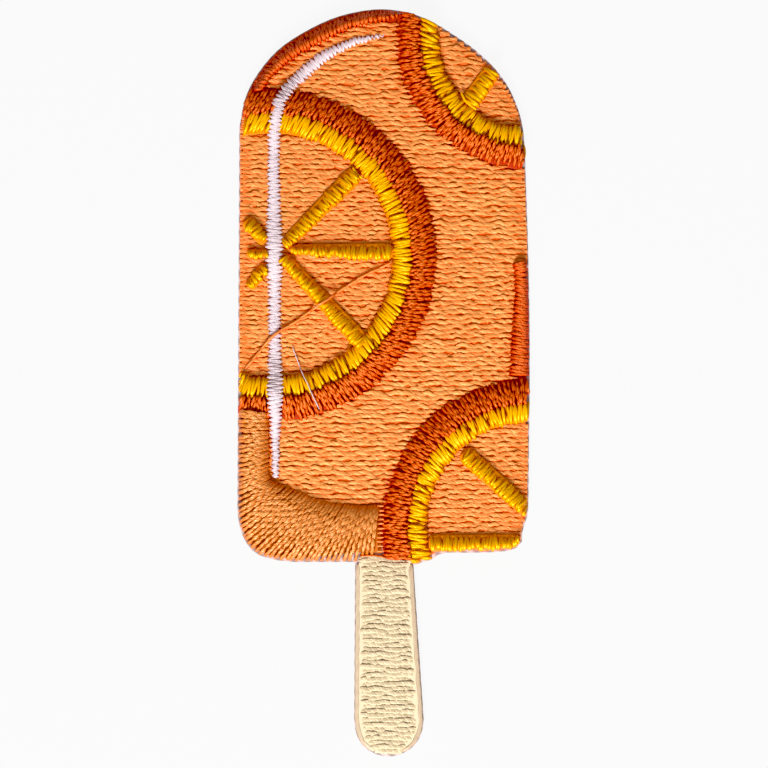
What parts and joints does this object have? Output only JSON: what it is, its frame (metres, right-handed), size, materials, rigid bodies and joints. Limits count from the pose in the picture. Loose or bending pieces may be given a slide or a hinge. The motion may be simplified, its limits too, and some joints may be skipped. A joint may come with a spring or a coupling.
{
  "type": "embroidered ice pop patch",
  "caption": "Flat embroidered cloth patch in the shape of an orange ice pop on a stick, with stitched fruit slices and a heat-seal back.",
  "frame": {"origin": "middle of the back face, on the surface that the patch lies on", "axes": "+X to the right of the picture, +Y from the stick to the round top, +Z out of the stitched side"},
  "size_m": [0.0298, 0.0762, 0.0022],
  "materials": {
    "backing_film": "satin, fabric grain",
    "base_twill": "twill weave, heat-cut edge",
    "peach_thread": "shiny embroidery thread",
    "apricot_thread": "shiny embroidery thread",
    "rust_thread": "shiny embroidery thread",
    "yellow_thread": "shiny embroidery thread",
    "white_thread": "shiny embroidery thread",
    "cream_thread": "shiny embroidery thread"
  },
  "bodies": {
    "root": {"backing_film": "backing_film", "base_cloth": "base_twill", "ice_fill": "peach_thread", "left_flesh": "peach_thread", "top_flesh": "peach_thread", "low_flesh": "peach_thread", "shade_corner": "apricot_thread", "stick_fill": "cream_thread", "crown_rind": "rust_thread", "edge_rind": "rust_thread", "left_rind": "rust_thread", "top_rind": "rust_thread", "low_rind": "rust_thread", "loose_orange_thread": "rust_thread", "left_pith": "yellow_thread", "top_pith": "yellow_thread", "low_pith": "yellow_thread", "highlight": "white_thread", "loose_white_thread": "white_thread", "left_wall_1": "yellow_thread", "left_wall_2": "yellow_thread", "left_wall_3": "yellow_thread", "left_wall_4": "yellow_thread", "left_wall_5": "yellow_thread", "left_wall_6": "yellow_thread", "top_wall_1": "yellow_thread", "low_wall_1": "yellow_thread", "low_wall_2": "yellow_thread"}
  },
  "joints": []
}
